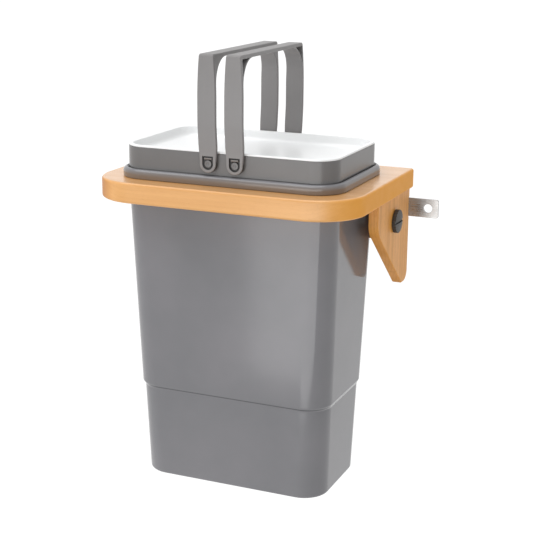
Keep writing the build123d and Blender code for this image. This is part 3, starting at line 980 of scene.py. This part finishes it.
make_bin()
make_pail()
make_lid()
make_knobs()
dress(from_node("shelf_plate"), "shelf", "beech", shelf_wood, "shelf_plate")
dress(from_node("back_rail"), "shelf", "beech", rail_wood, "back_rail")
dress(from_node("rail_dowels"), "shelf", "dowel", dowel_wood, "rail_dowels")
finish_pair("corbel", None, "beech", corbel_wood)
finish_pair("corbel_dowels", None, "dowel", dowel_wood)
finish_pair("rail_end_dowels", None, "dowel", dowel_wood)
finish_pair("door_bracket", None, "steel", arm_steel, bevel=0.0003)
finish_pair("clamp_washer", None, "steel", screw_steel, bevel=0.0001)
finish_pair("clamp_nut", None, "steel", screw_steel, bevel=0.0002)
finish_pair("clamp_stud", "knob", "steel", screw_steel)
finish_pair("bail", "bail", "grey_plastic", bail_plastic)

# Camera, as fitted to the straight edges of the photograph
camera_azimuth = math.radians(23.132)
camera_elevation = math.radians(15.093)
camera_roll = math.radians(0.479)
camera_place = Vector((0.4800, -1.1768, 0.2657))
camera_lens = 86.45
camera_sensor = 36.0
camera_reach = 100


def make_camera():
    """Camera at the photograph's place, turned and rolled as it was."""
    flat = math.cos(camera_elevation)
    side, front = math.sin(camera_azimuth) * flat, -math.cos(camera_azimuth) * flat
    back = Vector((side, front, math.sin(camera_elevation)))
    right = (-back).cross(Vector((0, 0, 1))).normalized()
    up = back.cross(right)
    turn = Matrix.Rotation(camera_roll, 3, back)
    axes = Matrix((turn @ right, turn @ up, back)).transposed()
    data = bpy.data.cameras.new("Camera")
    data.lens = camera_lens
    data.sensor_width = camera_sensor
    data.clip_end = camera_reach
    camera = bpy.data.objects.new("Camera", data)
    camera.matrix_world = Matrix.Translation(camera_place) @ axes.to_4x4()
    bpy.context.scene.collection.objects.link(camera)
    bpy.context.scene.camera = camera


# Stage and light
floor_drop = 0.90
floor_reach = 40.0
floor_grey = 0.80
floor_glow = 0.20
sky_level = 0.46
sun_strength = 2.1
sun_angle = math.radians(60)
sun_from = Vector((-0.25, -0.30, 1.30))
panel_distance = 1.9
fill_azimuth = math.radians(-26)
fill_size = (1.3, 1.5)
fill_raise = 0.10
fill_power = 10.0
sheen_azimuth = math.radians(8)
sheen_size = (2.3, 1.3)
sheen_raise = -0.42
sheen_power = 24.0


def seen_directly(tree):
    """1 for rays from the camera or from a gloss or glass surface, otherwise 0."""
    path = put(tree, "ShaderNodeLightPath").outputs
    direct = calc(tree, "MAXIMUM", path["Is Camera Ray"], path["Is Glossy Ray"])
    return calc(tree, "MAXIMUM", direct, path["Is Transmission Ray"])


def make_floor():
    """Pale floor well below the hanging bin."""
    bm = bmesh.new()
    bmesh.ops.create_grid(bm, x_segments=1, y_segments=1, size=floor_reach)
    floor = new_piece("floor", mesh_from("floor", bm))
    floor.location = (0, 0, bin_low.z - floor_drop)
    material = bpy.data.materials.new("Pale floor")
    material.use_nodes = True
    tree = material.node_tree
    tree.nodes.clear()
    matt = put(tree, "ShaderNodeBsdfDiffuse", {"Color": (floor_grey, floor_grey, floor_grey, 1)})
    glow = put(tree, "ShaderNodeEmission", {"Color": (1, 1, 1, 1), "Strength": floor_glow})
    lifted = put(tree, "ShaderNodeAddShader", {0: matt.outputs[0], 1: glow.outputs[0]})
    either = {0: seen_directly(tree), 1: matt.outputs[0], 2: lifted.outputs[0]}
    mixed = put(tree, "ShaderNodeMixShader", either)
    put(tree, "ShaderNodeOutputMaterial", {"Surface": mixed.outputs[0]})
    floor.data.materials.append(material)


def make_surroundings():
    """Even light from all round, seen as white."""
    world = bpy.data.worlds.new("Studio")
    world.use_nodes = True
    tree = world.node_tree
    tree.nodes.clear()
    light = put(tree, "ShaderNodeBackground", {"Color": (1, 1, 1, 1), "Strength": sky_level})
    white = put(tree, "ShaderNodeBackground", {"Color": (1, 1, 1, 1), "Strength": 1.0})
    either = {0: seen_directly(tree), 1: light.outputs[0], 2: white.outputs[0]}
    mixed = put(tree, "ShaderNodeMixShader", either)
    put(tree, "ShaderNodeOutputWorld", {"Surface": mixed.outputs[0]})
    bpy.context.scene.world = world


def make_lamp(name, kind, facing, place=Vector((0, 0, 0)), **settings):
    """Lamp at a place, shining away from where it faces."""
    lamp = bpy.data.lights.new(name, kind)
    for key, value in settings.items():
        setattr(lamp, key, value)
    holder = bpy.data.objects.new(name, lamp)
    holder.location = place
    holder.rotation_euler = facing.to_track_quat("Z", "Y").to_euler()
    bpy.context.scene.collection.objects.link(holder)
    return holder


def make_panel(name, azimuth, size, raised, power):
    """Upright soft panel that faces the bin and that the camera doesn't see."""
    away = Vector((math.sin(azimuth), -math.cos(azimuth), 0))
    place = Vector((0, axis_y, raised)) + away * panel_distance
    width, height = size
    shape = {"shape": "RECTANGLE", "size": width, "size_y": height}
    panel = make_lamp(name, "AREA", away, place, energy=power, **shape)
    panel.visible_camera = False
    return panel


def make_lamps():
    """Soft light from above, a soft fill from the left, and a broad panel that only gloss shows."""
    make_lamp("Overhead", "SUN", sun_from, energy=sun_strength, angle=sun_angle)
    fill = make_panel("Fill", fill_azimuth, fill_size, fill_raise, fill_power)
    fill.visible_glossy = False
    sheen = make_panel("Sheen", sheen_azimuth, sheen_size, sheen_raise, sheen_power)
    sheen.visible_diffuse = False


make_camera()
make_floor()
make_surroundings()
make_lamps()
bpy.context.scene.view_settings.view_transform = "Standard"
